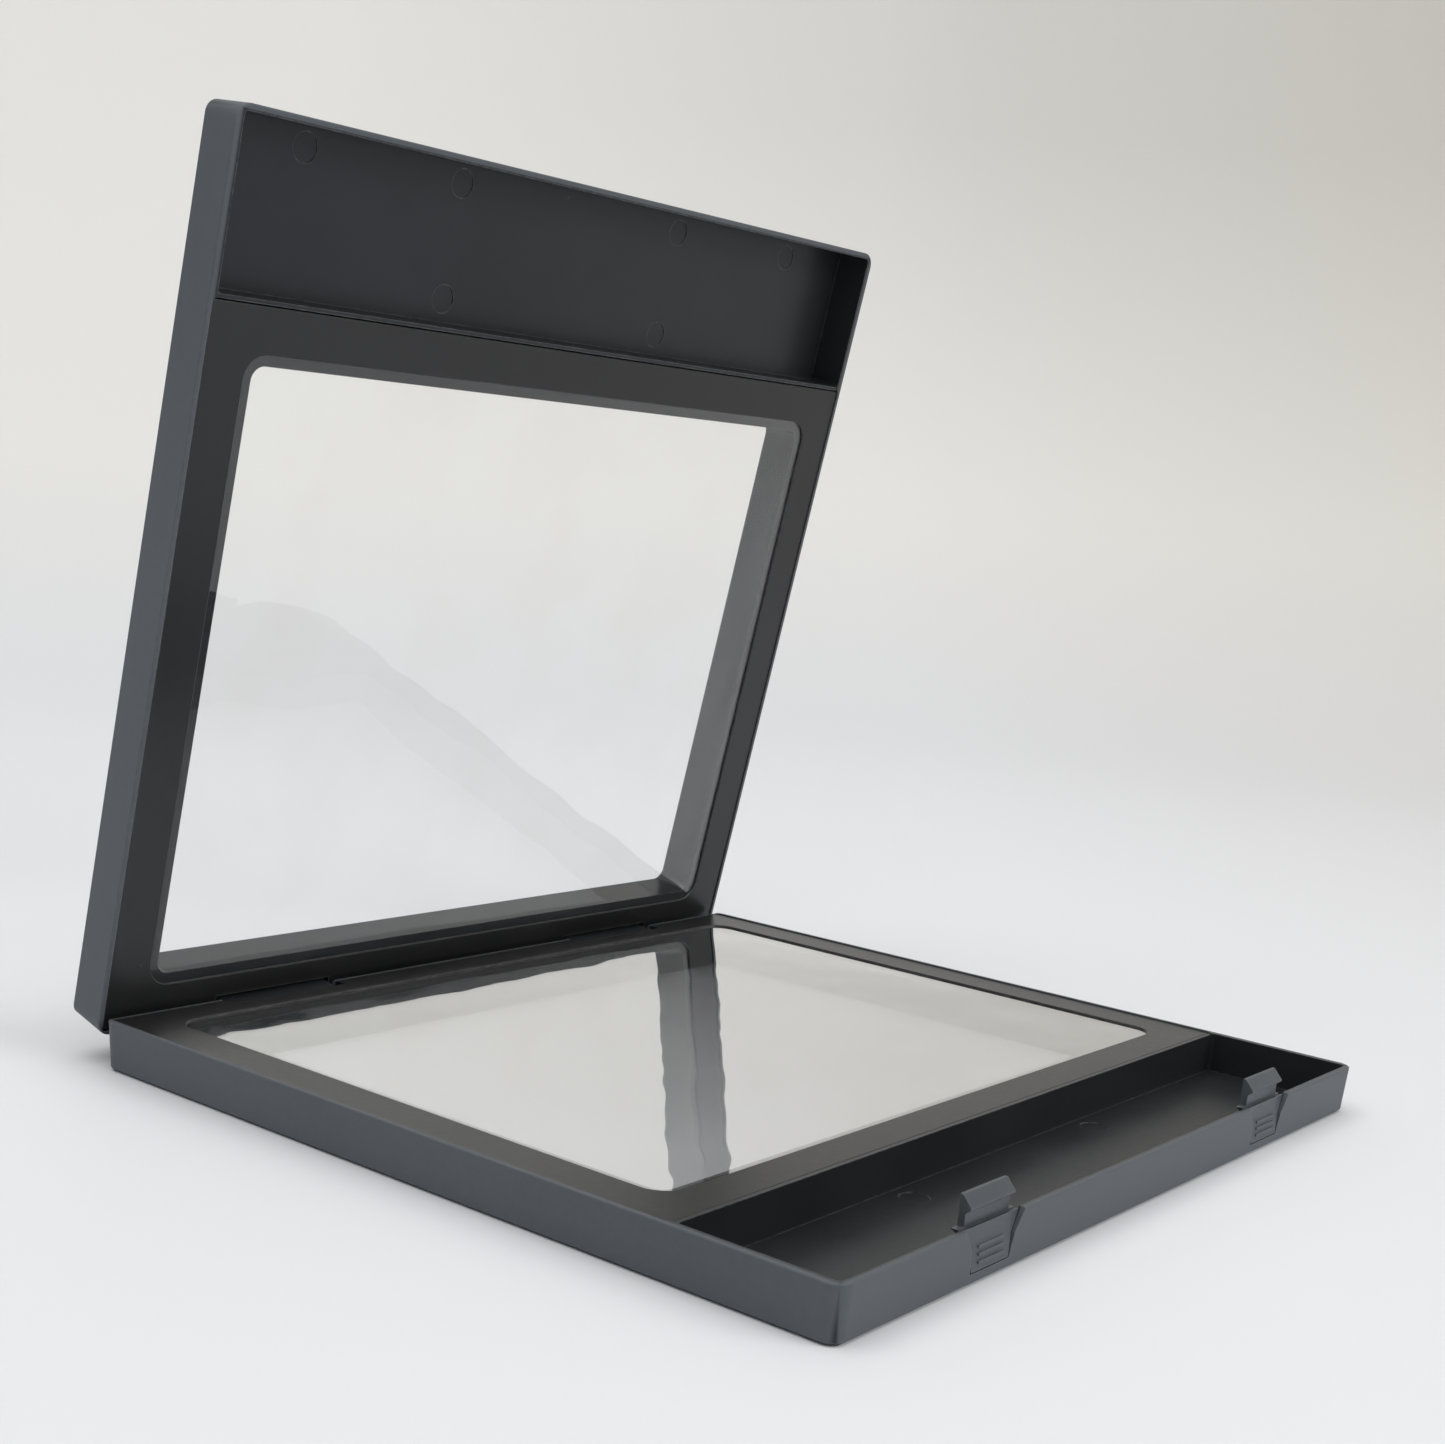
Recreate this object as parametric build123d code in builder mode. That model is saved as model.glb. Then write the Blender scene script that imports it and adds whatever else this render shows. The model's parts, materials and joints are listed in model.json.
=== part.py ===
"""Hinged display case with two stretched clear films, a latch-side pocket and two push latches.

Origin: centre of the base's underside. X runs along the hinge, +Y towards the hinge, +Z up. Millimetres.
Both halves are drawn in a frame of their own: outer face at z = 0, rim at z = half_height.
"""
from build123d import *
import math
import os

os.makedirs("parts", exist_ok=True)

# ---------------------------------------------------------------- overall sizes
case_width = 219.0  # along the hinge, at the rim
case_depth = 200.0  # hinge side to latch side, at the rim
half_height = 11.5  # one half, outer face to rim
closed_gap = 0.3  # between the two rims when the case is shut
lid_opening = 79.2  # degrees from shut, as the lid stands at rest
wall_draft = 4.0  # degrees, walls spread towards the rim
corner_radius = 3.6  # vertical corners, at the rim
outer_edge_chamfer = 0.8  # between the walls and the outer face
rim_edge_radius = 0.4

# ---------------------------------------------------------------- walls
floor_thickness = 1.8
side_wall = 2.0
rear_wall = 3.0
front_wall = 1.5
rim_width = 1.1  # what is left of a wall beside the bezel
divider_y = -62.5  # face of the divider on the window side
divider_thickness = 0.9
divider_drop = 0.2  # divider top below the rim
rib_thickness = 1.2
rib_drop = 0.3  # ribs and hinge bosses below the bezel's seat
bay_corner = 2.0
pocket_corner = 1.0

# ---------------------------------------------------------------- window, film and bezel
window_width = 190.2
window_front = -50.0
window_rear = 87.2
window_corner = 3.3
window_wall = 3.6
lip = 2.4  # window wall left in sight inside the bezel
film_thickness = 0.3
film_grip = 4.0  # film under the bezel, past its opening
bezel_thickness = 1.6
bezel_flange = 0.45  # bezel over the film, round the opening
film_gap = 0.2  # film's edge to the bezel's rebate
bezel_drop = 0.3  # bezel top below the rim
bezel_gap = 0.25  # shadow gap round the bezel
bezel_corner = 0.8
bezel_edge_radius = 0.35

# ---------------------------------------------------------------- hinge
hinge_x = 60.0  # centre of each hinge, left and right of the middle
hinge_inset = 2.2  # pivot in from the rear face
hinge_drop = 3.3  # pivot below the base's rim
notch_width = 34.4
knuckle_gap = 1.0  # at each end of a knuckle, where the pin is bare
knuckle_radius = 1.9
notch_floor = 5.0  # height of the notch's floor over the underside
notch_depth = 5.0  # from the rear face inwards
boss_width = 4.8
pin_radius = 0.8
pin_bite = 3.0  # pin held in each boss
pin_fit = 0.01  # radial, pin in its bosses
running_fit = 0.06  # radial, knuckle or trunnion that turns
swing_gap = 0.3  # base's rounded rear edge to the lid's rim, through the swing

# ---------------------------------------------------------------- latches
latch_x = 60.0
latch_top_width = 19.6
latch_waist_width = 14.6
latch_foot_width = 13.0
latch_waist = 7.2  # height at which the pad's sides flare
latch_foot = 2.7  # height of the latch's lower edge
latch_height = 17.3  # top of the hook over the underside
latch_thickness = 1.5
latch_side_gap = 0.3
latch_scoop = 1.3  # how far the pad leans in at the rim
pad_top = 11.2  # height of the pad's ledge, below the hook
hook_width = 15.6
hook_setback = 2.3  # hook's blade in from the front face
hook_reach = 1.1
hook_z = 14.85  # height of the hook's nose
hook_nose_radius = 0.5
catch_clearance = 0.3
catch_groove = 2.2  # height of the lid's groove for the nose
trunnion_radius = 0.6
trunnion_length = 1.9  # past the latch's side
trunnion_setback = 1.05  # in from the pad's face at its foot
ear_width = 2.0  # of each bearing beside a latch
ear_depth = 1.5
ear_top = 4.7
grip_rib = 0.35  # how far a grip rib stands out
rib_length = 9.0
rib_height = 0.6
rib_heights = (4.3, 5.8, 7.3)

# ---------------------------------------------------------------- ejector marks in the pocket floors
mark_radius = 3.2
mark_depth = 0.2
mark_places = ((-37.6, -68.6), (37.6, -68.6), (-83.5, -94.0), (-38.0, -94.0), (38.0, -94.0), (83.5, -94.0))

# ---------------------------------------------------------------- derived sizes
half_width = case_width / 2
half_depth = case_depth / 2
bezel_top = half_height - bezel_drop
bezel_seat = bezel_top - bezel_thickness
film_top = bezel_top - bezel_flange
film_seat = film_top - film_thickness
rib_top = bezel_seat - rib_drop
bay_half_width = half_width - side_wall
bay_rear = half_depth - rear_wall
pocket_front = -(half_depth - front_wall)
pocket_rear = divider_y - divider_thickness
opening_width = window_width + 2 * lip
opening_front = window_front - lip
opening_rear = window_rear + lip
opening_corner = window_corner + lip
pivot_y = half_depth - hinge_inset
pivot_z = half_height - hinge_drop
lid_pivot_height = half_height + closed_gap + hinge_drop  # in the lid's own frame
knuckle_width = notch_width - 2 * knuckle_gap
latch_front_at_rim = -(half_depth - latch_scoop)
latch_front_at_hook = -(half_depth - hook_setback)
latch_foot_front = -(half_depth - (half_height - latch_foot) * math.tan(math.radians(wall_draft)))
trunnion_y = latch_foot_front + trunnion_setback
trunnion_z = latch_foot + latch_thickness / 2
x_axis = Axis((0, 0, 0), (1, 0, 0))

# the lid's frame: shut, its z axis points down on to the base, then it turns about the pivot
turn = math.radians(lid_opening)
shut_y = -pivot_y
shut_z = 2 * half_height + closed_gap - pivot_z
lid_origin_y = pivot_y + shut_y * math.cos(turn) + shut_z * math.sin(turn)
lid_origin_z = pivot_z - shut_y * math.sin(turn) + shut_z * math.cos(turn)
base_frame = Plane.XY
lid_frame = Plane(
    origin=(0, lid_origin_y, lid_origin_z),
    x_dir=(1, 0, 0),
    z_dir=(0, -math.sin(turn), -math.cos(turn)),
)


def frame_axis(frame):
    """The frame's z axis, to sort faces by height over the outer face."""
    return Axis(frame.origin, frame.z_dir)


def slab(frame, side, width, y_from, y_to, z_from, z_to, radius=0.0, mode=Mode.ADD):
    """A block centred on x = 0 between two y and two z, its corners rounded by radius."""
    with BuildSketch(frame.offset(z_from)) as outline:
        with Locations((0, side * (y_from + y_to) / 2)):
            if radius > 0:
                RectangleRounded(width, abs(y_to - y_from), radius)
            else:
                Rectangle(width, abs(y_to - y_from))
    extrude(outline.sketch, amount=z_to - z_from, mode=mode)


def block(frame, side, x_from, x_to, y_from, y_to, z_from, z_to, mode=Mode.ADD):
    """A plain block between two x, two y and two z."""
    with BuildSketch(frame.offset(z_from)) as outline:
        with Locations(((x_from + x_to) / 2, side * (y_from + y_to) / 2)):
            Rectangle(abs(x_to - x_from), abs(y_to - y_from))
    extrude(outline.sketch, amount=z_to - z_from, mode=mode)


def tray(frame):
    """The solid block that both halves start from, with drafted walls."""
    draft = half_height * math.tan(math.radians(wall_draft))
    with BuildSketch(frame) as outline:
        RectangleRounded(case_width - 2 * draft, case_depth - 2 * draft, corner_radius - draft)
    extrude(outline.sketch, amount=half_height, taper=-wall_draft)


def hollow(frame, side):
    """Cuts the window bay, window, pocket and ejector marks, then stands the ribs in the bay."""
    slab(frame, side, 2 * bay_half_width, divider_y, bay_rear, floor_thickness, bezel_seat, bay_corner, Mode.SUBTRACT)
    slab(
        frame, side, 2 * (half_width - rim_width), divider_y, half_depth - rim_width,
        bezel_seat, half_height + 1, bezel_corner + bezel_gap, Mode.SUBTRACT,
    )
    slab(
        frame, side, window_width + 2 * window_wall, window_front - window_wall, window_rear + window_wall,
        floor_thickness - 0.5, film_seat, window_corner + window_wall,
    )
    slab(frame, side, window_width, window_front, window_rear, -1, half_height, window_corner, Mode.SUBTRACT)
    slab(
        frame, side, 2 * bay_half_width, pocket_front, pocket_rear,
        floor_thickness, half_height + 1, pocket_corner, Mode.SUBTRACT,
    )
    slab(
        frame, side, 2 * bay_half_width, pocket_rear, divider_y,
        half_height - divider_drop, half_height + 1, 0.0, Mode.SUBTRACT,
    )
    with BuildSketch(frame.offset(floor_thickness - mark_depth)) as marks:
        with Locations(*[(x, side * y) for x, y in mark_places]):
            Circle(mark_radius)
        with Locations((0, side * (pocket_front + pocket_rear) / 2)):
            Rectangle(2 * bay_half_width - 1, abs(pocket_front - pocket_rear) - 1, mode=Mode.INTERSECT)
    extrude(marks.sketch, amount=mark_depth + 0.5, mode=Mode.SUBTRACT)
    wall_x = window_width / 2 + window_wall - 0.3
    for y in (-40.0, 0.0, 40.0, 76.0):
        for x_from, x_to in ((-bay_half_width - 0.3, -wall_x), (wall_x, bay_half_width + 0.3)):
            block(frame, side, x_from, x_to, y - rib_thickness / 2, y + rib_thickness / 2, 1.0, rib_top)
    for x in (-30.0, 30.0):
        for y_from, y_to in (
            (divider_y - 0.3, window_front - window_wall + 0.3),
            (window_rear + window_wall - 0.3, bay_rear + 0.3),
        ):
            block(frame, side, x - rib_thickness / 2, x + rib_thickness / 2, y_from, y_to, 1.0, rib_top)


def round_outside(part, frame):
    """Chamfers the outer face's edge and rounds the rim's outer edge of a tray."""
    levels = part.faces().sort_by(frame_axis(frame))
    chamfer(levels[0].edges(), outer_edge_chamfer)
    levels = part.faces().sort_by(frame_axis(frame))
    fillet(levels[-1].edges(), rim_edge_radius)


def rod(frame, side, x_middle, length, y, z, radius, mode=Mode.ADD):
    """A cylinder along x."""
    plane = Plane(
        origin=frame.from_local_coords((x_middle - length / 2, side * y, z)),
        x_dir=frame.z_dir,
        z_dir=frame.x_dir,
    )
    with BuildSketch(plane) as section:
        Circle(radius)
    extrude(section.sketch, amount=length, mode=mode)


def latch_outline(grow, top):
    """The pad's outline seen from the front, grown by a gap and carried on up to a height."""
    foot, waist, rim = (w / 2 + grow for w in (latch_foot_width, latch_waist_width, latch_top_width))
    wide = rim + (top - pad_top) * (rim - waist) / (pad_top - latch_waist)
    right = [(foot, latch_foot - grow), (waist, latch_waist), (wide, top)]
    return right + [(-x, z) for x, z in reversed(right)]


# ---------------------------------------------------------------- base shell
with BuildPart() as base_shell:
    tray(base_frame)
    round_outside(base_shell, base_frame)
    hollow(base_frame, 1)
    for middle in (-hinge_x, hinge_x):
        for hand in (-1, 1):
            boss_middle = middle + hand * (notch_width + boss_width) / 2
            block(
                base_frame, 1, boss_middle - boss_width / 2, boss_middle + boss_width / 2,
                half_depth - notch_depth, bay_rear + 0.5, floor_thickness - 0.5, rib_top,
            )
        block(
            base_frame, 1, middle - notch_width / 2, middle + notch_width / 2,
            half_depth - notch_depth, half_depth + 1, notch_floor, half_height + 1, Mode.SUBTRACT,
        )
        rod(
            base_frame, 1, middle, notch_width + 2 * pin_bite, pivot_y, pivot_z,
            pin_radius + pin_fit, Mode.SUBTRACT,
        )
    # rear edge rounded about the pivot, so the lid's rim swings clear of it
    with BuildSketch(Plane(origin=(-half_width, pivot_y, pivot_z), x_dir=(0, 1, 0), z_dir=(1, 0, 0))):
        Rectangle(hinge_inset + 1, hinge_drop + 1, align=(Align.MIN, Align.MIN))
        Circle(hinge_drop + closed_gap - swing_gap, mode=Mode.SUBTRACT)
    extrude(amount=case_width, mode=Mode.SUBTRACT)
    # openings for the latches in the front wall, with their trunnion holes
    for middle in (-latch_x, latch_x):
        for hand in (-1, 1):
            ear_from = middle + hand * (latch_waist_width / 2 + latch_side_gap)
            block(
                base_frame, 1, ear_from, ear_from + hand * ear_width,
                pocket_front - 0.1, pocket_front + ear_depth, floor_thickness - 0.5, ear_top,
            )
        with BuildSketch(Plane(origin=(middle, pocket_front + 0.5, 0), x_dir=(1, 0, 0), z_dir=(0, -1, 0))):
            with BuildLine():
                Polyline(*latch_outline(latch_side_gap, half_height + 1), close=True)
            make_face()
        extrude(amount=front_wall + 1.5, mode=Mode.SUBTRACT)
        rod(
            base_frame, 1, middle, latch_foot_width + 2 * (trunnion_length + 0.2), trunnion_y, trunnion_z,
            trunnion_radius + running_fit, Mode.SUBTRACT,
        )
base_shell.part.label = "base_shell"
export_step(base_shell.part, "parts/base_shell.step")

# ---------------------------------------------------------------- lid shell
with BuildPart() as lid_shell:
    tray(lid_frame)
    round_outside(lid_shell, lid_frame)
    hollow(lid_frame, -1)
    for middle in (-hinge_x, hinge_x):
        block(
            lid_frame, -1, middle - knuckle_width / 2, middle + knuckle_width / 2,
            pivot_y - knuckle_radius, pivot_y + knuckle_radius - 0.1,
            half_height - 4.0, lid_pivot_height,
        )
        rod(lid_frame, -1, middle, knuckle_width, pivot_y, lid_pivot_height, knuckle_radius)
        rod(
            lid_frame, -1, middle, knuckle_width, pivot_y, lid_pivot_height,
            pin_radius + running_fit, Mode.SUBTRACT,
        )
    # grooves in the front wall that the hooks snap into
    shut_hook_z = 2 * half_height + closed_gap - hook_z
    for middle in (-latch_x, latch_x):
        block(
            lid_frame, -1, middle - hook_width / 2 - 0.6, middle + hook_width / 2 + 0.6,
            latch_front_at_hook - hook_reach - catch_clearance, pocket_front + 0.5,
            shut_hook_z - catch_groove / 2, shut_hook_z + catch_groove / 2,
            Mode.SUBTRACT,
        )
lid_shell.part.label = "lid_shell"
export_step(lid_shell.part, "parts/lid_shell.step")


def bezel(frame, side):
    """The retainer frame: opening with rounded edges, and a rebate under it for the film."""
    slab(
        frame, side, 2 * (half_width - rim_width - bezel_gap), divider_y + bezel_gap,
        half_depth - rim_width - bezel_gap, bezel_seat, bezel_top, bezel_corner,
    )
    slab(
        frame, side, opening_width, opening_front, opening_rear,
        bezel_seat - 1, bezel_top + 1, opening_corner, Mode.SUBTRACT,
    )
    spare = film_grip + film_gap
    slab(
        frame, side, opening_width + 2 * spare, opening_front - spare, opening_rear + spare,
        bezel_seat - 1, film_top, opening_corner + spare, Mode.SUBTRACT,
    )


def notch_bezel(frame, side):
    """Cuts the hinge notches out of a bezel's rear edge."""
    for middle in (-hinge_x, hinge_x):
        block(
            frame, side, middle - notch_width / 2, middle + notch_width / 2,
            half_depth - notch_depth, half_depth, bezel_seat - 1, bezel_top + 1, Mode.SUBTRACT,
        )


with BuildPart() as base_bezel:
    bezel(base_frame, 1)
    fillet(base_bezel.faces().sort_by(frame_axis(base_frame))[-1].edges(), bezel_edge_radius)
    notch_bezel(base_frame, 1)
base_bezel.part.label = "base_bezel"
export_step(base_bezel.part, "parts/base_bezel.step")

with BuildPart() as lid_bezel:
    bezel(lid_frame, -1)
    fillet(lid_bezel.faces().sort_by(frame_axis(lid_frame))[-1].edges(), bezel_edge_radius)
    notch_bezel(lid_frame, -1)
lid_bezel.part.label = "lid_bezel"
export_step(lid_bezel.part, "parts/lid_bezel.step")

# ---------------------------------------------------------------- films
with BuildPart() as base_film:
    slab(
        base_frame, 1, opening_width + 2 * film_grip, opening_front - film_grip, opening_rear + film_grip,
        film_seat, film_top, opening_corner + film_grip,
    )
base_film.part.label = "base_film"
export_step(base_film.part, "parts/base_film.step")

with BuildPart() as lid_film:
    slab(
        lid_frame, -1, opening_width + 2 * film_grip, opening_front - film_grip, opening_rear + film_grip,
        film_seat, film_top, opening_corner + film_grip,
    )
lid_film.part.label = "lid_film"
export_step(lid_film.part, "parts/lid_film.step")

# ---------------------------------------------------------------- hinge pins
with BuildPart() as hinge_pin_left:
    rod(base_frame, 1, -hinge_x, notch_width + 2 * pin_bite - 0.2, pivot_y, pivot_z, pin_radius)
hinge_pin_left.part.label = "hinge_pin_left"
export_step(hinge_pin_left.part, "parts/hinge_pin_left.step")

with BuildPart() as hinge_pin_right:
    rod(base_frame, 1, hinge_x, notch_width + 2 * pin_bite - 0.2, pivot_y, pivot_z, pin_radius)
hinge_pin_right.part.label = "hinge_pin_right"
export_step(hinge_pin_right.part, "parts/hinge_pin_right.step")


def latch(middle):
    """One push latch: leaning pad, blade with a hooked nose, trunnions and three grip ribs."""
    front, back = latch_front_at_hook, latch_thickness
    side_plane = Plane(origin=(middle - latch_top_width / 2, 0, 0), x_dir=(0, 1, 0), z_dir=(1, 0, 0))
    with BuildSketch(side_plane) as profile:
        with BuildLine():
            Polyline(
                (latch_foot_front, latch_foot),
                (latch_front_at_rim, pad_top),
                (front, pad_top - 0.3),
                (front, hook_z - 1.1),
                (front - hook_reach + 0.3, hook_z - 0.45),
                (front - hook_reach + 0.1, hook_z + 0.3),
                (front + 0.9, latch_height),
                (front + back, latch_height),
                (front + back, pad_top - 0.2),
                (latch_front_at_rim + back, pad_top - 1.2),
                (latch_foot_front + back, latch_foot),
                close=True,
            )
        make_face()
        with Locations((front - hook_reach + hook_nose_radius, hook_z)):
            Circle(hook_nose_radius)
    extrude(profile.sketch, amount=latch_top_width)
    # pad's sides, and the narrower blade above it
    with BuildSketch(Plane(origin=(middle, 0, 0), x_dir=(1, 0, 0), z_dir=(0, -1, 0))) as outline:
        with BuildLine():
            Polyline(*latch_outline(0.0, pad_top), close=True)
        make_face()
        with Locations((0, pad_top - 1 + (latch_height - pad_top + 2) / 2)):
            Rectangle(hook_width, latch_height - pad_top + 2)
    extrude(outline.sketch, amount=case_depth, mode=Mode.INTERSECT)
    lean = (latch_front_at_rim - latch_foot_front) / (pad_top - latch_foot)
    for height in rib_heights:
        face_y = latch_foot_front + lean * (height - latch_foot)
        block(
            base_frame, 1, middle - rib_length / 2, middle + rib_length / 2,
            face_y - grip_rib, face_y + 0.6, height - rib_height / 2, height + rib_height / 2,
        )
    rod(
        base_frame, 1, middle, latch_foot_width + 2 * trunnion_length, trunnion_y, trunnion_z,
        trunnion_radius,
    )


with BuildPart() as latch_left:
    latch(-latch_x)
latch_left.part.label = "latch_left"
export_step(latch_left.part, "parts/latch_left.step")

with BuildPart() as latch_right:
    latch(latch_x)
latch_right.part.label = "latch_right"
export_step(latch_right.part, "parts/latch_right.step")
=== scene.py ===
"""Finishes and studio for a hinged display case that holds an object between two stretched clear films.

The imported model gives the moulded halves, their bezels, the push latches and the hinge pins. This file
gives each its finish and replaces the two films by sheets with the slight waves that clamping leaves.
"""
import json
import logging
import math
from dataclasses import dataclass, field
from enum import Enum

import bpy
from mathutils import Matrix, Vector


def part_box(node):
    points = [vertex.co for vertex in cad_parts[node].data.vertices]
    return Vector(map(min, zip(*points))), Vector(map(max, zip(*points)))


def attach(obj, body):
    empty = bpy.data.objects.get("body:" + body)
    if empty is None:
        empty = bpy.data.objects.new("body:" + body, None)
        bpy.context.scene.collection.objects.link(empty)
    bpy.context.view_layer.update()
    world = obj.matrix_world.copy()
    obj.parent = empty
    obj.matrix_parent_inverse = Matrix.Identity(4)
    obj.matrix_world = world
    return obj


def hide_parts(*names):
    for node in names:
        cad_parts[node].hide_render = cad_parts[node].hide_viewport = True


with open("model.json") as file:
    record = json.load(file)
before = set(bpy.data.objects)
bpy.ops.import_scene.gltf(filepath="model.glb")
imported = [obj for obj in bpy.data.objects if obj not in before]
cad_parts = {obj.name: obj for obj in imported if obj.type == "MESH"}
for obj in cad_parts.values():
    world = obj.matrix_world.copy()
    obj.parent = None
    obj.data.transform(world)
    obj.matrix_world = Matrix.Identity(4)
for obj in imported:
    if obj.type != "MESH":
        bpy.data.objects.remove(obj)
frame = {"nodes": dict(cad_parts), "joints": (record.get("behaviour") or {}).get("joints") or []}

LOG = logging.getLogger("display_case")
MILLIMETRE = 0.001
Colour = tuple[float, float, float, float]
Span = tuple[float, float]
WHOLE: Span = (0.0, 1.0)
FIRST_COLOUR, SECOND_COLOUR, MIXED_COLOUR = 6, 7, 2  # the colour sockets of a Mix node


def grey(level: float, warmth: float = 0.0) -> Colour:
    """Returns a near-neutral colour, warm above zero warmth and cool below it."""
    return (level * (1.0 + warmth), level, level * (1.0 - warmth), 1.0)


# ---------------------------------------------------------------- finishes
class Graph:
    """The node tree of one material, with short ways to add and join nodes."""

    def __init__(self, name: str, shut: Matrix | None = None) -> None:
        """Starts an empty material.

        Args:
            name: What the material is called.
            shut: Turns a place on the piece to where it is with the case shut; None if it doesn't move.
        """
        self.material = bpy.data.materials.new(name)
        self.material.use_nodes = True
        self.tree = self.material.node_tree
        self.tree.nodes.clear()
        self.place = self.add("ShaderNodeTexCoord").outputs["Object"]
        if shut is not None:
            turned = self.add("ShaderNodeMapping")
            turned.inputs["Location"].default_value = shut.to_translation()
            turned.inputs["Rotation"].default_value = shut.to_euler()
            self.join(self.place, turned.inputs["Vector"])
            self.place = turned.outputs["Vector"]

    def add(self, kind: str, **settings: object) -> bpy.types.Node:
        """Adds a node.

        Args:
            kind: The node's Blender type.
            **settings: Properties to set on it.

        Returns:
            The new node.
        """
        node = self.tree.nodes.new(kind)
        for name, value in settings.items():
            setattr(node, name, value)
        return node

    def join(self, source: bpy.types.NodeSocket, target: bpy.types.NodeSocket) -> None:
        """Links an output to an input."""
        self.tree.links.new(source, target)

    def noise(self, feature: float, detail: float = 3.0, stretch: tuple[float, float, float] = (1, 1, 1),
              seed: float = 0.0) -> bpy.types.NodeSocket:
        """Adds a noise pattern.

        Args:
            feature: Size of one blotch, in metres.
            detail: Octaves of finer noise.
            stretch: How many times denser the pattern is along x, y and z.
            seed: Moves the pattern, so that two finishes differ.

        Returns:
            The pattern's value, about 0 to 1.
        """
        mapping = self.add("ShaderNodeMapping")
        mapping.inputs["Location"].default_value = (seed, seed * 0.37, seed * 0.71)
        mapping.inputs["Scale"].default_value = stretch
        node = self.add("ShaderNodeTexNoise")
        node.inputs["Scale"].default_value = 1.0 / feature
        node.inputs["Detail"].default_value = detail
        self.join(self.place, mapping.inputs["Vector"])
        self.join(mapping.outputs["Vector"], node.inputs["Vector"])
        return node.outputs["Fac"]

    def specks(self, spacing: float, radius: float) -> bpy.types.NodeSocket:
        """Adds scattered round specks.

        Args:
            spacing: Mean distance between specks, in metres.
            radius: Radius of one speck, as a share of the spacing.

        Returns:
            1 inside a speck and 0 elsewhere, with a soft edge.
        """
        node = self.add("ShaderNodeTexVoronoi")
        node.inputs["Scale"].default_value = 1.0 / spacing
        self.join(self.place, node.inputs["Vector"])
        return self.span(node.outputs["Distance"], (radius, radius / 2))

    def span(self, value: bpy.types.NodeSocket, source: Span, target: Span = WHOLE) -> bpy.types.NodeSocket:
        """Maps one range of values on to another.

        Args:
            value: The value to map.
            source: The range it has.
            target: The range it gets, 0 to 1 unless stated.

        Returns:
            The mapped value, kept inside the target range.
        """
        node = self.add("ShaderNodeMapRange")
        node.inputs["From Min"].default_value, node.inputs["From Max"].default_value = source
        node.inputs["To Min"].default_value, node.inputs["To Max"].default_value = target
        self.join(value, node.inputs["Value"])
        return node.outputs["Result"]

    def sums(self, operation: str, first: bpy.types.NodeSocket,
             second: bpy.types.NodeSocket | float) -> bpy.types.NodeSocket:
        """Adds a maths node.

        Args:
            operation: What it does.
            first: Its first input.
            second: Its second input, a socket or a number.

        Returns:
            The result.
        """
        node = self.add("ShaderNodeMath", operation=operation)
        self.join(first, node.inputs[0])
        if isinstance(second, (int, float)):
            node.inputs[1].default_value = second
        else:
            self.join(second, node.inputs[1])
        return node.outputs["Value"]

    def compare(self, first: bpy.types.NodeSocket,
                second: bpy.types.NodeSocket | tuple[float, float, float]) -> bpy.types.NodeSocket:
        """Adds a dot product.

        Args:
            first: The first vector.
            second: The second vector, a socket or three numbers.

        Returns:
            How far the first vector reaches along the second.
        """
        node = self.add("ShaderNodeVectorMath", operation="DOT_PRODUCT")
        self.join(first, node.inputs[0])
        if isinstance(second, tuple):
            node.inputs[1].default_value = second
        else:
            self.join(second, node.inputs[1])
        return node.outputs["Value"]

    def axes(self) -> dict[str, bpy.types.NodeSocket]:
        """Splits the place on the piece.

        Returns:
            Its X, Y and Z, each under its letter.
        """
        split = self.add("ShaderNodeSeparateXYZ")
        self.join(self.place, split.inputs["Vector"])
        return {axis: split.outputs[axis] for axis in "XYZ"}

    def blend(self, share: bpy.types.NodeSocket, first: Colour | bpy.types.NodeSocket,
              second: Colour) -> bpy.types.NodeSocket:
        """Mixes two colours.

        Args:
            share: How much of the second colour shows, 0 to 1.
            first: The first colour, or a socket that gives it.
            second: The second colour.

        Returns:
            The mixed colour.
        """
        node = self.add("ShaderNodeMix", data_type="RGBA")
        self.join(share, node.inputs[0])
        if isinstance(first, tuple):
            node.inputs[FIRST_COLOUR].default_value = first
        else:
            self.join(first, node.inputs[FIRST_COLOUR])
        node.inputs[SECOND_COLOUR].default_value = second
        return node.outputs[MIXED_COLOUR]

    def toned(self, colour: bpy.types.NodeSocket, tone: bpy.types.NodeSocket) -> bpy.types.NodeSocket:
        """Multiplies one colour by another.

        Args:
            colour: The first colour.
            tone: The colour that it is multiplied by.

        Returns:
            The product.
        """
        node = self.add("ShaderNodeMix", data_type="RGBA", blend_type="MULTIPLY")
        node.inputs[0].default_value = 1.0
        self.join(colour, node.inputs[FIRST_COLOUR])
        self.join(tone, node.inputs[SECOND_COLOUR])
        return node.outputs[MIXED_COLOUR]

    def relief(self, height: bpy.types.NodeSocket, depth: float, strength: float,
               under: bpy.types.NodeSocket | None = None) -> bpy.types.NodeSocket:
        """Adds a bump.

        Args:
            height: The relief, 0 to 1.
            depth: Height of a value of 1, in metres.
            strength: How much of the bump shows.
            under: A bump that this one lies on.

        Returns:
            The bumped normal.
        """
        node = self.add("ShaderNodeBump")
        node.inputs["Strength"].default_value = strength
        node.inputs["Distance"].default_value = depth
        self.join(height, node.inputs["Height"])
        if under is not None:
            self.join(under, node.inputs["Normal"])
        return node.outputs["Normal"]

    def show(self, shader: bpy.types.Node) -> bpy.types.Material:
        """Shows a shader at the output and returns the material."""
        output = self.add("ShaderNodeOutputMaterial")
        self.join(shader.outputs[0], output.inputs["Surface"])
        return self.material


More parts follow.
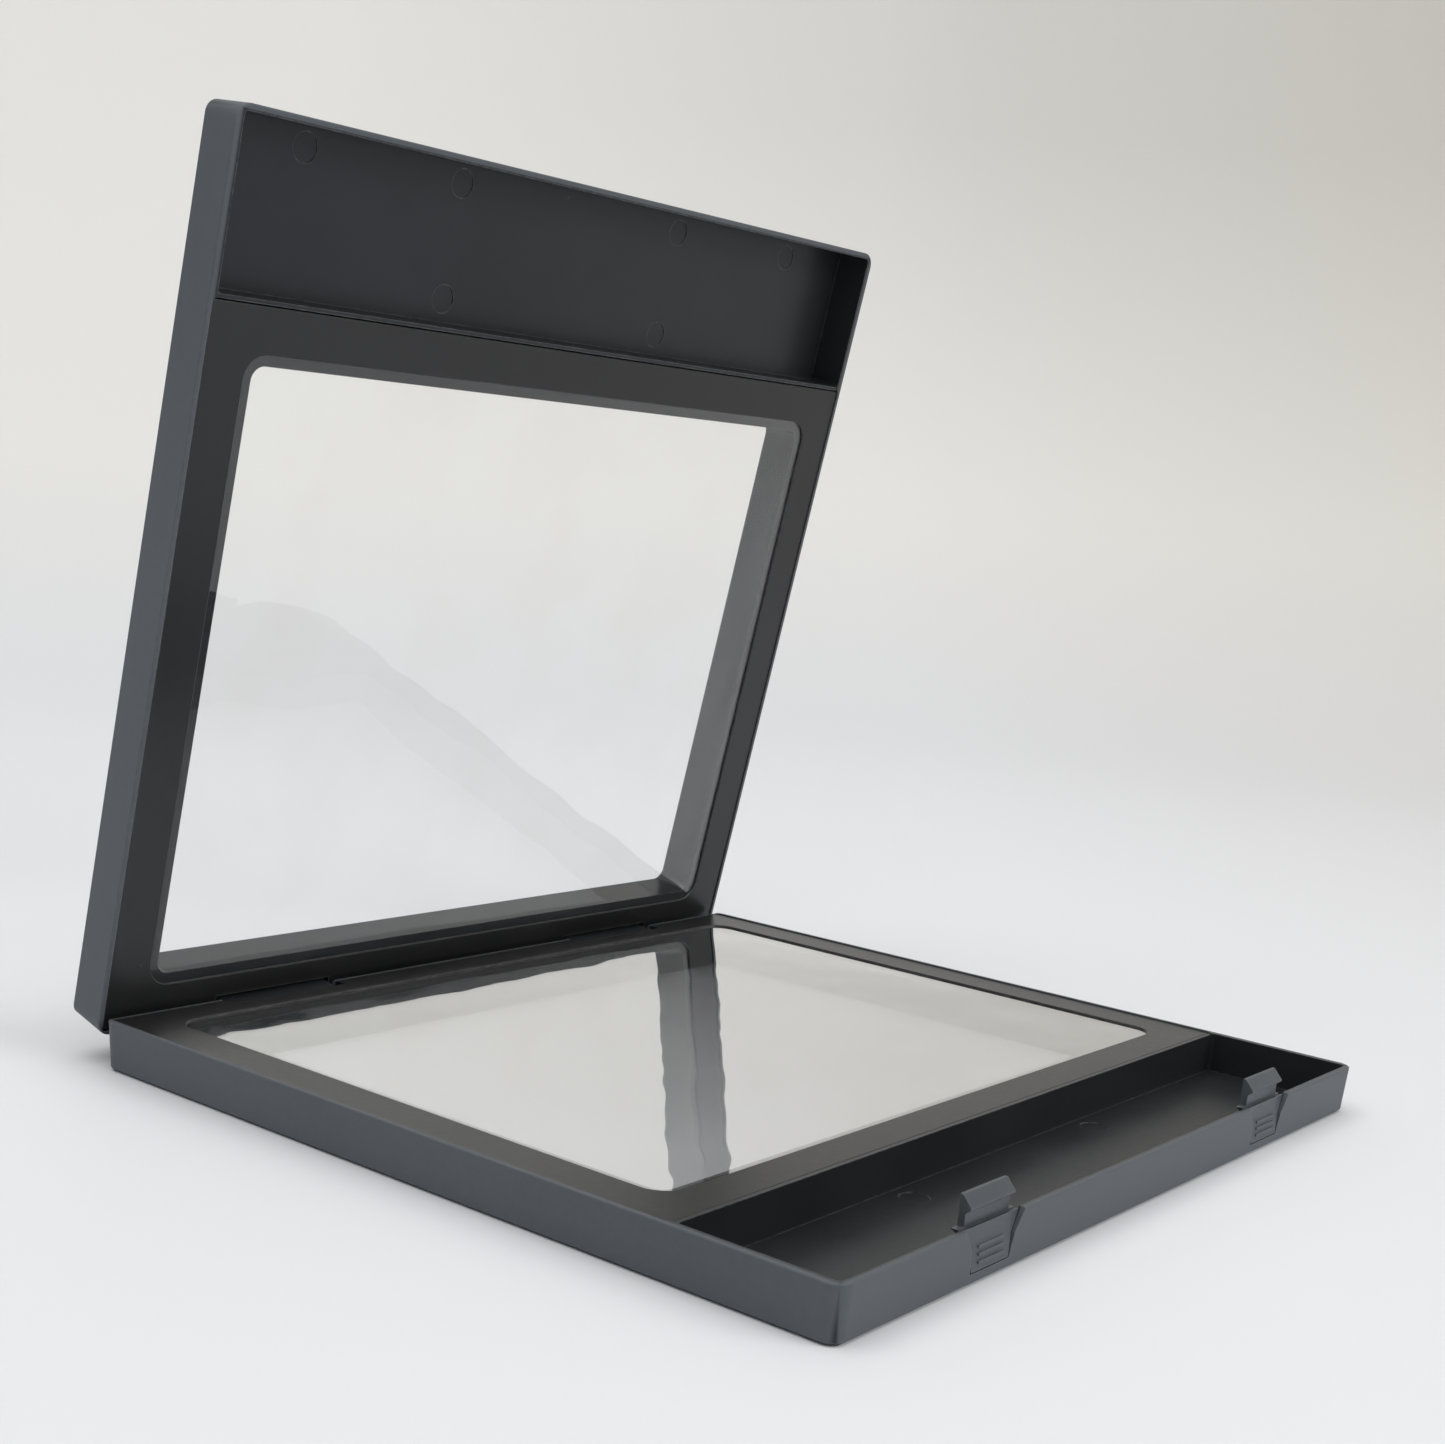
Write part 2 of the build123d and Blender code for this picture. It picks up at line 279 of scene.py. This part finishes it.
@dataclass(frozen=True)
class MouldedPlastic:
    """Black plastic out of a spark-textured mould: fine grain, faint mottling, dust, a painted sheen on the
    outer skin, and edges lightened partly by rubbing and partly by a painted highlight.

    A range such as blotch_range is the part of a noise pattern that is used, from its low to its high end.
    A skin band is how far under an outer face the skin's look starts, and where it is full; that look
    includes a painted sheen.
    """

    name: str
    inside: Colour
    mottle: Colour
    # painted sheen: this grey is partly the coarser texture, mostly a painted lightening for the light the
    # outer walls catch
    skin_and_painted_sheen: Colour
    dust: Colour
    roughness: Span
    skin_roughness: float = 0.16
    side_skin: Span = (1.6 * MILLIMETRE, 1.0 * MILLIMETRE)
    front_skin: Span = (1.25 * MILLIMETRE, 0.95 * MILLIMETRE)
    face_skin: Span = (0.5 * MILLIMETRE, 0.25 * MILLIMETRE)
    parting_gap: float = 0.15 * MILLIMETRE  # from the base's rim up to the plane between the halves
    sheen: float = 0.38
    tint: Colour = (0.8, 0.88, 1.0, 1.0)
    blotch: float = 38 * MILLIMETRE
    blotch_range: Span = (0.35, 0.65)
    painted_sheen_patch_range: Span = (0.6, 1.4)
    painted_sheen_patch_share: Span = (0.8, 1.0)
    grain: float = 0.34 * MILLIMETRE
    grain_depth: float = 0.05 * MILLIMETRE
    grain_strength: float = 0.24
    swirl: float = 4.5  # size of the coarser grain, in grains
    swirl_depth: float = 1.6
    swirl_strength: float = 0.45
    uneven_range: Span = (0.32, 0.68)
    blotch_share: float = 0.55  # of the roughness pattern; the rest is the coarser grain
    lint_spacing: float = 13 * MILLIMETRE
    lint_radius: float = 0.028
    dusty: float = 55 * MILLIMETRE
    dusty_range: Span = (0.5, 0.62)
    dust_cover: Span = (0.0, 0.5)
    # edge tone: partly rubbing wear, partly a painted highlight along the sharp edges
    edge_width: float = 0.4 * MILLIMETRE
    edge_rub_and_highlight: Colour = (0.16, 0.16, 0.165, 1.0)
    edge_turn: Span = (0.985, 0.86)  # cosine of the turn where an edge starts to show, and shows fully
    rub_and_highlight_range: Span = (0.36, 0.64)
    rub_and_highlight_share: Span = (0.15, 0.8)
    seed: float = 0.0

    def material(self, shut: Matrix | None = None) -> bpy.types.Material:
        """Builds the material.

        Args:
            shut: Turns a place on the piece to where it is with the case shut.

        Returns:
            The material.
        """
        graph = Graph(f"{self.name}{'_lid' if shut is not None else ''}", shut)
        blotch = graph.noise(self.blotch, detail=4.0, seed=self.seed)
        fine = graph.noise(self.grain, detail=2.0, seed=self.seed + 0.3)
        swirl = graph.noise(self.grain * self.swirl, detail=3.0, seed=self.seed + 0.7)
        outside = self.outside(graph)
        shader = graph.add("ShaderNodeBsdfPrincipled")
        shader.inputs["Specular IOR Level"].default_value = self.sheen
        shader.inputs["Specular Tint"].default_value = self.tint
        graph.join(self.colour(graph, blotch, swirl, outside), shader.inputs["Base Color"])
        graph.join(self.dullness(graph, blotch, swirl, outside), shader.inputs["Roughness"])
        depth, strength = self.grain_depth * self.swirl_depth, self.grain_strength * self.swirl_strength
        coarse = graph.relief(swirl, depth, strength)
        normal = graph.relief(fine, self.grain_depth, self.grain_strength, coarse)
        graph.join(normal, shader.inputs["Normal"])
        return graph.show(shader)

    def colour(self, graph: Graph, blotch: bpy.types.NodeSocket, swirl: bpy.types.NodeSocket,
               outside: bpy.types.NodeSocket) -> bpy.types.NodeSocket:
        """Lays mottling, the outer skin's painted sheen, dust, and edges lightened by rubbing and a painted
        highlight over each other.

        Args:
            graph: The material's nodes.
            blotch: The large pattern.
            swirl: The coarser grain.
            outside: 1 on the outer skin and 0 inside.

        Returns:
            The colour.
        """
        colour = graph.blend(graph.span(blotch, self.blotch_range), self.inside, self.mottle)
        patchy_painted_sheen = graph.span(graph.sums("ADD", blotch, swirl), self.painted_sheen_patch_range, self.painted_sheen_patch_share)
        # Painted sheen: the outer walls and faces get the far lighter skin grey, which stands in for the
        # light they catch, over their coarser texture.
        colour = graph.blend(graph.sums("MULTIPLY", outside, patchy_painted_sheen), colour, self.skin_and_painted_sheen)
        patch = graph.noise(self.dusty, detail=2.0, seed=self.seed + 1.9)
        cover = graph.span(patch, self.dusty_range, self.dust_cover)
        lint = graph.specks(self.lint_spacing, self.lint_radius)
        colour = graph.blend(graph.sums("MULTIPLY", lint, cover), colour, self.dust)
        # Sharp edges get a light grey, partly rubbing wear and partly a painted highlight.
        rub_and_highlight = graph.span(swirl, self.rub_and_highlight_range, self.rub_and_highlight_share)
        return graph.blend(graph.sums("MULTIPLY", self.edges(graph), rub_and_highlight), colour, self.edge_rub_and_highlight)

    def dullness(self, graph: Graph, blotch: bpy.types.NodeSocket, swirl: bpy.types.NodeSocket,
                 outside: bpy.types.NodeSocket) -> bpy.types.NodeSocket:
        """Makes the plastic unevenly rough, and rougher on the outer skin.

        Args:
            graph: The material's nodes.
            blotch: The large pattern.
            swirl: The coarser grain.
            outside: 1 on the outer skin and 0 inside.

        Returns:
            The roughness.
        """
        uneven = graph.sums(
            "ADD", graph.sums("MULTIPLY", blotch, self.blotch_share),
            graph.sums("MULTIPLY", swirl, 1.0 - self.blotch_share),
        )
        rough = graph.span(uneven, self.uneven_range, self.roughness)
        return graph.sums("ADD", rough, graph.sums("MULTIPLY", outside, self.skin_roughness))

    def outside(self, graph: Graph) -> bpy.types.NodeSocket:
        """Finds the outer skin, which came out of a coarser mould face than the inside and gets a painted
        sheen.

        Args:
            graph: The material's nodes, with places as they are when the case is shut.

        Returns:
            1 on the outer walls and the two outer faces, 0 inside.
        """
        low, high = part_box("base_shell")
        parting = high.z + self.parting_gap
        place = graph.axes()
        level = graph.sums("SUBTRACT", place["Z"], parting)
        found = None
        for distance, reach, (start, full) in (
            (place["X"], high.x, self.side_skin),
            (place["Y"], -low.y, self.front_skin),
            (level, parting, self.face_skin),
        ):
            away = graph.sums("ABSOLUTE", distance, 0.0)
            skin_and_painted_sheen = graph.span(away, (reach - start, reach - full))
            found = skin_and_painted_sheen if found is None else graph.sums("MAXIMUM", found, skin_and_painted_sheen)
        return found

    def edges(self, graph: Graph) -> bpy.types.NodeSocket:
        """Finds the sharp edges, which get rubbing wear and a painted highlight.

        Args:
            graph: The material's nodes.

        Returns:
            1 on a sharp edge and 0 away from it.
        """
        rounded = graph.add("ShaderNodeBevel", samples=4)
        rounded.inputs["Radius"].default_value = self.edge_width
        flat = graph.add("ShaderNodeNewGeometry").outputs["Normal"]
        return graph.span(graph.compare(rounded.outputs["Normal"], flat), self.edge_turn)


@dataclass(frozen=True)
class ClearFilm:
    """Stretched clear film: almost all light goes through, and a mirror grows towards a grazing view."""

    name: str
    clear: Colour = (0.994, 0.996, 0.996, 1.0)
    hazy: Colour = grey(0.98, 0.003)
    haze_range: Span = (0.45, 0.75)
    reflection: Colour = grey(0.97)
    mirror: Span = (0.03, 0.98)  # share of the mirror straight on, and at most
    steepness: float = 4.3
    full_mirror: float = 0.43
    facing_blend: float = 0.5  # at this setting Facing is 1 less the cosine of the angle
    smudge: float = 24 * MILLIMETRE
    smudge_range: Span = (0.4, 0.8)
    roughness: Span = (0.004, 0.03)
    hair: float = 9 * MILLIMETRE
    hair_depth: float = 0.02 * MILLIMETRE
    hair_strength: float = 0.12

    def material(self) -> bpy.types.Material:
        """Builds a mix of clear and mirror that depends on how steeply the film is seen.

        Returns:
            The material.
        """
        graph = Graph(self.name)
        smudge = graph.noise(self.smudge, detail=5.0, seed=4.1)
        hairs = graph.noise(self.hair, detail=2.0, stretch=(1.0, 9.0, 1.0), seed=2.2)
        facing = graph.add("ShaderNodeLayerWeight")
        facing.inputs["Blend"].default_value = self.facing_blend
        rise = graph.sums("POWER", facing.outputs["Facing"], self.steepness)
        clear = graph.add("ShaderNodeBsdfTransparent")
        haze = graph.blend(graph.span(smudge, self.haze_range), self.clear, self.hazy)
        graph.join(haze, clear.inputs["Color"])
        mirror = graph.add("ShaderNodeBsdfGlossy")
        mirror.inputs["Color"].default_value = self.reflection
        graph.join(graph.span(smudge, self.smudge_range, self.roughness), mirror.inputs["Roughness"])
        graph.join(graph.relief(hairs, self.hair_depth, self.hair_strength), mirror.inputs["Normal"])
        mixed = graph.add("ShaderNodeMixShader")
        graph.join(graph.span(rise, (0.0, self.full_mirror), self.mirror), mixed.inputs["Fac"])
        graph.join(clear.outputs[0], mixed.inputs[1])
        graph.join(mirror.outputs[0], mixed.inputs[2])
        return graph.show(mixed)


@dataclass(frozen=True)
class DrawnSteel:
    """Bright drawn steel wire with fine lines along the pin."""

    name: str
    bright: Colour = (0.62, 0.62, 0.61, 1.0)
    dull: Colour = (0.42, 0.42, 0.42, 1.0)
    line: float = 0.25 * MILLIMETRE
    line_range: Span = (0.3, 0.7)
    line_depth: float = 0.01 * MILLIMETRE
    line_strength: float = 0.3
    stain: float = 3 * MILLIMETRE
    roughness: Span = (0.2, 0.36)

    def material(self) -> bpy.types.Material:
        """Builds bright metal whose lines and stains make it unevenly rough.

        Returns:
            The material.
        """
        graph = Graph(self.name)
        lines = graph.noise(self.line, detail=3.0, stretch=(0.06, 1.0, 1.0))
        stain = graph.noise(self.stain, detail=3.0, seed=1.3)
        shader = graph.add("ShaderNodeBsdfPrincipled")
        shader.inputs["Metallic"].default_value = 1.0
        graph.join(graph.blend(stain, self.bright, self.dull), shader.inputs["Base Color"])
        graph.join(graph.span(lines, self.line_range, self.roughness), shader.inputs["Roughness"])
        graph.join(graph.relief(lines, self.line_depth, self.line_strength), shader.inputs["Normal"])
        return graph.show(shader)


@dataclass(frozen=True)
class PaleCard:
    """Matt pale card for the floor and the sweep round it, with a tone for each part of the studio: the
    darker tones round the back, on the upper right and towards the right are painted shade.

    A height, right or ahead band is in metres: where a tone starts to show, and where it shows fully.
    """

    name: str = "pale_card"
    near: Colour = (0.715, 0.725, 0.75, 1.0)
    far: Colour = (0.78, 0.78, 0.762, 1.0)
    far_height: Span = (0.0, 0.12)
    # painted shade: the upper right of the sweep darker
    high: Colour = (0.655, 0.65, 0.63, 1.0)
    high_height: Span = (0.15, 0.5)
    high_right: Span = (-0.45, 0.2)
    # painted shade: the sweep above the floor dark everywhere but ahead of the camera, standing in for the
    # dim room
    room_painted_shade: Colour = (0.42, 0.42, 0.43, 1.0)
    room_height: Span = (0.06, 0.3)
    room_ahead: Span = (1.15, 0.5)
    # painted shade: the right side of the card darker and warmer
    warm: Colour = (0.87, 0.85, 0.82, 1.0)
    warm_right: Span = (0.1, 0.65)
    ahead: tuple[float, float, float] = (0.788, 0.615, 0.0)  # level unit vector the way the camera faces
    right: tuple[float, float, float] = (0.615, -0.788, 0.0)  # and the one to its right
    cloud: float = 0.4
    cloud_range: Span = (0.3, 0.7)
    cloud_shade: float = 0.985
    roughness: Span = (0.55, 0.7)
    sheen: float = 0.25

    def material(self) -> bpy.types.Material:
        """Builds the card's tones: floor, sweep, a painted shade on its upper right, a dark painted shade
        round the back, and a warm painted shade on the right side.

        Returns:
            The material.
        """
        graph = Graph(self.name)
        height = graph.axes()["Z"]
        across = graph.compare(graph.place, self.right)
        along = graph.compare(graph.place, self.ahead)
        cloud = graph.noise(self.cloud, detail=2.0)
        colour = graph.blend(graph.span(height, self.far_height), self.near, self.far)
        # Painted shade on the upper right of the sweep and round the back.
        for colour_there, up, sideways, band in (
            (self.high, self.high_height, across, self.high_right),
            (self.room_painted_shade, self.room_height, along, self.room_ahead),
        ):
            share = graph.sums("MULTIPLY", graph.span(height, up), graph.span(sideways, band))
            colour = graph.blend(share, colour, colour_there)
        shade = graph.blend(cloud, grey(1.0), grey(self.cloud_shade))
        # Painted shade: darker and warmer towards the right.
        shade = graph.blend(graph.span(across, self.warm_right), shade, self.warm)
        shader = graph.add("ShaderNodeBsdfPrincipled")
        shader.inputs["Specular IOR Level"].default_value = self.sheen
        graph.join(graph.toned(colour, shade), shader.inputs["Base Color"])
        graph.join(graph.span(cloud, self.cloud_range, self.roughness), shader.inputs["Roughness"])
        return graph.show(shader)


class Finish(Enum):
    """The finishes of the case."""

    # Where a skin grey is lighter than the inside grey, as on the shell and the latch, the difference is
    # painted sheen on the outer walls.
    SHELL = MouldedPlastic(
        "shell_black", inside=grey(0.013, -0.1), mottle=grey(0.018, -0.1), skin_and_painted_sheen=grey(0.092, -0.11),
        dust=grey(0.2, 0.02), roughness=(0.285, 0.37),
    )
    BEZEL = MouldedPlastic(
        "bezel_black", inside=grey(0.008, -0.03), mottle=grey(0.011), skin_and_painted_sheen=grey(0.011),
        dust=grey(0.22, 0.03), roughness=(0.28, 0.34), sheen=0.46, tint=(0.92, 0.94, 1.0, 1.0), seed=3.7,
    )
    LATCH = MouldedPlastic(
        "latch_black", inside=grey(0.064, -0.1), mottle=grey(0.074, -0.1), skin_and_painted_sheen=grey(0.084, -0.1),
        dust=grey(0.2), roughness=(0.34, 0.46), grain=0.25 * MILLIMETRE, seed=8.1,
    )
    FILM = ClearFilm("film_clear")
    STEEL = DrawnSteel("pin_steel")


def dress(piece: bpy.types.Object, finish: bpy.types.Material) -> None:
    """Gives every material slot of a piece one finish.

    Args:
        piece: The piece to dress.
        finish: The material that it gets.
    """
    if not piece.material_slots:
        piece.data.materials.append(finish)
    for slot in piece.material_slots:
        slot.material = finish


# ---------------------------------------------------------------- modelling helpers
def only(piece: bpy.types.Object) -> None:
    """Selects one piece, makes it active, and deselects the rest."""
    bpy.ops.object.select_all(action="DESELECT")
    piece.select_set(True)
    bpy.context.view_layer.objects.active = piece


def apply_modifiers(piece: bpy.types.Object) -> None:
    """Applies a piece's modifiers in order."""
    only(piece)
    for modifier in list(piece.modifiers):
        bpy.ops.object.modifier_apply(modifier=modifier.name)


def seat(piece: bpy.types.Object, placing: Matrix) -> None:
    """Moves a piece and puts the move into its mesh.

    Args:
        piece: The piece.
        placing: Where it goes.
    """
    only(piece)
    piece.matrix_world = placing @ piece.matrix_world
    bpy.ops.object.transform_apply(location=True, rotation=True, scale=True)


# ---------------------------------------------------------------- the case
@dataclass
class FilmSheet:
    """A clear film gripped all round under a bezel, with shallow waves where it was pulled and clamped."""

    name: str
    node: str
    body: str
    gripped: float = 6.4 * MILLIMETRE  # strip along each edge that can't move
    easing: float = 6 * MILLIMETRE  # strip inside it where the waves fade in
    cell: float = 1.5 * MILLIMETRE
    thickness: float = 0.26 * MILLIMETRE
    wave_height: float = 0.2 * MILLIMETRE
    wave_length: float = 26 * MILLIMETRE
    swell_height: float = 0.3 * MILLIMETRE
    swell_length: float = 75 * MILLIMETRE

    def build(self, width: float, depth: float, placing: Matrix,
              finish: bpy.types.Material) -> bpy.types.Object:
        """Models the film flat about its own middle, then seats it in its half.

        Args:
            width: Size along the hinge, in metres.
            depth: Size across it, in metres.
            placing: From the film's own middle to its place in the case.
            finish: The clear finish.

        Returns:
            The film.
        """
        bpy.ops.object.select_all(action="DESELECT")
        bpy.ops.mesh.primitive_grid_add(
            x_subdivisions=round(width / self.cell), y_subdivisions=round(depth / self.cell), size=1.0,
        )
        sheet = bpy.context.object
        sheet.name = sheet.data.name = self.name
        sheet.scale = (width, depth, 1.0)
        bpy.ops.object.transform_apply(location=False, rotation=False, scale=True)
        self.free_area(sheet, width, depth)
        self.wave(sheet, "pull", self.wave_length, self.wave_height)
        self.wave(sheet, "sag", self.swell_length, self.swell_height)
        solid = sheet.modifiers.new("thickness", "SOLIDIFY")
        solid.thickness, solid.offset = self.thickness, 0.0
        apply_modifiers(sheet)
        bpy.ops.object.shade_smooth()
        seat(sheet, placing)
        dress(sheet, finish)
        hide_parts(self.node)
        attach(sheet, self.body)
        return sheet

    def free_area(self, sheet: bpy.types.Object, width: float, depth: float) -> None:
        """Marks how free each point is to move: not at all under the bezel, fully a little inside it.

        Args:
            sheet: The flat film.
            width: Its size along the hinge.
            depth: Its size across the hinge.
        """
        group = sheet.vertex_groups.new(name="free")
        for point in sheet.data.vertices:
            inside = min(width / 2 - abs(point.co.x), depth / 2 - abs(point.co.y)) - self.gripped
            share = min(max(inside / self.easing, 0.0), 1.0)
            group.add([point.index], share * share * (3 - 2 * share), "REPLACE")

    def wave(self, sheet: bpy.types.Object, name: str, length: float, height: float) -> None:
        """Adds a set of waves.

        Args:
            sheet: The film.
            name: What the set is called.
            length: Distance between two crests, in metres.
            height: Trough to crest, in metres.
        """
        pattern = bpy.data.textures.new(f"{self.name}_{name}", "CLOUDS")
        pattern.noise_scale = length
        pattern.noise_depth = 1
        push = sheet.modifiers.new(name, "DISPLACE")
        push.texture, push.texture_coords = pattern, "LOCAL"
        push.direction, push.mid_level = "Z", 0.5
        push.strength, push.vertex_group = height, "free"


@dataclass
class Hinge:
    """The line that the lid turns about, and how far it stands open."""

    joint: str = "lid_hinge"
    pivot: Vector = field(init=False)
    opening: float = field(init=False)

    def __post_init__(self) -> None:
        """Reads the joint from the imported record."""
        row = next(j for j in frame["joints"] if j["name"] == self.joint)
        self.pivot = Vector(row["pos_m"])
        self.opening = math.radians(-row["range_deg"][0])

    def shut(self) -> Matrix:
        """Gives the turn from how the lid stands to shut."""
        about = Matrix.Translation(self.pivot)
        return about @ Matrix.Rotation(self.opening, 4, "X") @ about.inverted()


@dataclass
class Half:
    """One half of the case: a moulded tray, its bezel and its film."""

    name: str
    shell: bpy.types.Material
    bezel: bpy.types.Material
    film: bpy.types.Material

    def build(self, placing: Matrix, width: float, depth: float) -> list[bpy.types.Object]:
        """Dresses the moulded parts and makes the film.

        Args:
            placing: From the middle of a film to this half's.
            width: The film's size along the hinge.
            depth: The film's size across it.

        Returns:
            The pieces of this half.
        """
        tray, retainer = frame["nodes"][f"{self.name}_shell"], frame["nodes"][f"{self.name}_bezel"]
        dress(tray, self.shell)
        dress(retainer, self.bezel)
        sheet = FilmSheet(f"{self.name}_film_stretched", f"{self.name}_film", self.name)
        return [tray, retainer, sheet.build(width, depth, placing, self.film)]


@dataclass
class Case:
    """The whole case: two halves, two latches and two hinge pins."""

    hinge: Hinge = field(default_factory=Hinge)

    def build(self) -> list[bpy.types.Object]:
        """Builds and dresses every piece.

        Returns:
            All pieces that show.
        """
        made = {finish: finish.value.material() for finish in Finish}
        lid_shell = Finish.SHELL.value.material(self.hinge.shut())
        lid_bezel = Finish.BEZEL.value.material(self.hinge.shut())
        low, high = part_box("base_film")
        size = high - low
        lying = Matrix.Translation((low + high) / 2)
        lid_low, lid_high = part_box("lid_film")
        raised = Matrix.Rotation(-self.hinge.opening, 4, "X")
        standing = Matrix.Translation((lid_low + lid_high) / 2) @ raised
        pieces = []
        for half, placing in (
            (Half("base", made[Finish.SHELL], made[Finish.BEZEL], made[Finish.FILM]), lying),
            (Half("lid", lid_shell, lid_bezel, made[Finish.FILM]), standing),
        ):
            pieces += half.build(placing, size.x, size.y)
        for hand in ("left", "right"):
            for node, finish in ((f"latch_{hand}", Finish.LATCH), (f"hinge_pin_{hand}", Finish.STEEL)):
                dress(frame["nodes"][node], made[finish])
                pieces.append(frame["nodes"][node])
        return pieces


# ---------------------------------------------------------------- studio
@dataclass(frozen=True)
class SoftLamp:
    """A square soft lamp that faces the case. Its size is in metres and its power in watts."""

    name: str
    place: tuple[float, float, float]
    size: float
    power: float
    target: tuple[float, float, float] = (0.0, 0.0, 0.05)

    def hang(self) -> None:
        """Adds the lamp to the scene and turns it to its target."""
        data = bpy.data.lights.new(self.name, "AREA")
        data.size, data.energy = self.size, self.power
        lamp = bpy.data.objects.new(self.name, data)
        bpy.context.scene.collection.objects.link(lamp)
        place = Vector(self.place)
        lamp.location = place
        lamp.rotation_euler = (Vector(self.target) - place).to_track_quat("-Z", "Y").to_euler()


@dataclass
class Studio:
    """A pale floor that sweeps up all round, a soft overhead lamp, a soft front lamp and a pale sky."""

    radius: float = 1.9
    wall: float = 1.9
    bend: float = 1.15
    sides: int = 96
    bend_steps: int = 24
    card: PaleCard = PaleCard()
    lamps: tuple[SoftLamp, ...] = (
        SoftLamp("overhead", (-0.6, 0.1, 1.9), 2.0, 21.5),
        SoftLamp("front", (0.4, -1.5, 0.8), 1.1, 16.0),
    )
    sky: Colour = (1.0, 0.99, 0.97, 1.0)
    sky_strength: float = 0.75

    def build(self) -> None:
        """Makes the floor, the lamps and the sky."""
        self.floor()
        for lamp in self.lamps:
            lamp.hang()
        self.heaven()

    def floor(self) -> None:
        """Models the floor as a disc whose edge is drawn up and rounded."""
        bpy.ops.object.select_all(action="DESELECT")
        bpy.ops.mesh.primitive_circle_add(vertices=self.sides, radius=self.radius, fill_type="NGON")
        floor = bpy.context.object
        floor.name = floor.data.name = "floor"
        bpy.ops.object.mode_set(mode="EDIT")
        bpy.ops.mesh.select_mode(type="EDGE")
        bpy.ops.mesh.select_all(action="SELECT")
        bpy.ops.mesh.extrude_edges_move(TRANSFORM_OT_translate={"value": (0, 0, self.wall)})
        bpy.ops.object.mode_set(mode="OBJECT")
        for edge in floor.data.edges:
            edge.select = all(abs(floor.data.vertices[v].co.z) < 0.1 * MILLIMETRE for v in edge.vertices)
        bpy.ops.object.mode_set(mode="EDIT")
        bpy.ops.mesh.bevel(offset=self.bend, segments=self.bend_steps)
        bpy.ops.mesh.select_all(action="SELECT")
        bpy.ops.mesh.normals_make_consistent(inside=True)
        bpy.ops.object.mode_set(mode="OBJECT")
        bpy.ops.object.shade_smooth()
        dress(floor, self.card.material())

    def heaven(self) -> None:
        """Lights everything from all round with a pale sky."""
        world = bpy.data.worlds.new("sky")
        world.use_nodes = True
        background = world.node_tree.nodes["Background"]
        background.inputs["Color"].default_value = self.sky
        background.inputs["Strength"].default_value = self.sky_strength
        bpy.context.scene.world = world


@dataclass
class Viewpoint:
    """The camera: where it stands, where it looks (in radians), and its lens (in millimetres)."""

    place: Vector = field(default_factory=lambda: Vector((-0.378566, -0.274049, 0.137511)))
    yaw: float = 0.908
    pitch: float = 0.1916
    roll: float = 0.0821
    lens: float = 51.63
    sensor: float = 36.0
    shift: tuple[float, float] = (0.0160, 0.1151)
    clip: Span = (0.01, 50.0)

    def build(self) -> None:
        """Sets up the camera: yaw from +Y towards +X, pitch down, then roll."""
        ahead = Vector((
            math.sin(self.yaw) * math.cos(self.pitch),
            math.cos(self.yaw) * math.cos(self.pitch),
            -math.sin(self.pitch),
        ))
        level = Vector((math.cos(self.yaw), -math.sin(self.yaw), 0.0))
        upright = level.cross(ahead)
        right = level * math.cos(self.roll) + upright * math.sin(self.roll)
        up = upright * math.cos(self.roll) - level * math.sin(self.roll)
        data = bpy.data.cameras.new("view")
        data.lens, data.sensor_width = self.lens, self.sensor
        data.shift_x, data.shift_y = self.shift
        data.clip_start, data.clip_end = self.clip
        camera = bpy.data.objects.new("view", data)
        bpy.context.scene.collection.objects.link(camera)
        turn = Matrix((right, up, -ahead)).transposed().to_4x4()
        camera.matrix_world = Matrix.Translation(self.place) @ turn
        bpy.context.scene.camera = camera


def main() -> None:
    """Builds the camera, the case and the studio."""
    logging.basicConfig(level=logging.INFO, format="%(name)s: %(message)s")
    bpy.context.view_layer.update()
    bpy.context.scene.view_settings.view_transform = "Standard"
    Viewpoint().build()
    for piece in Case().build():
        LOG.info("%s: %d faces", piece.name, len(piece.data.polygons))
    Studio().build()


if __name__ == "__main__":
    main()
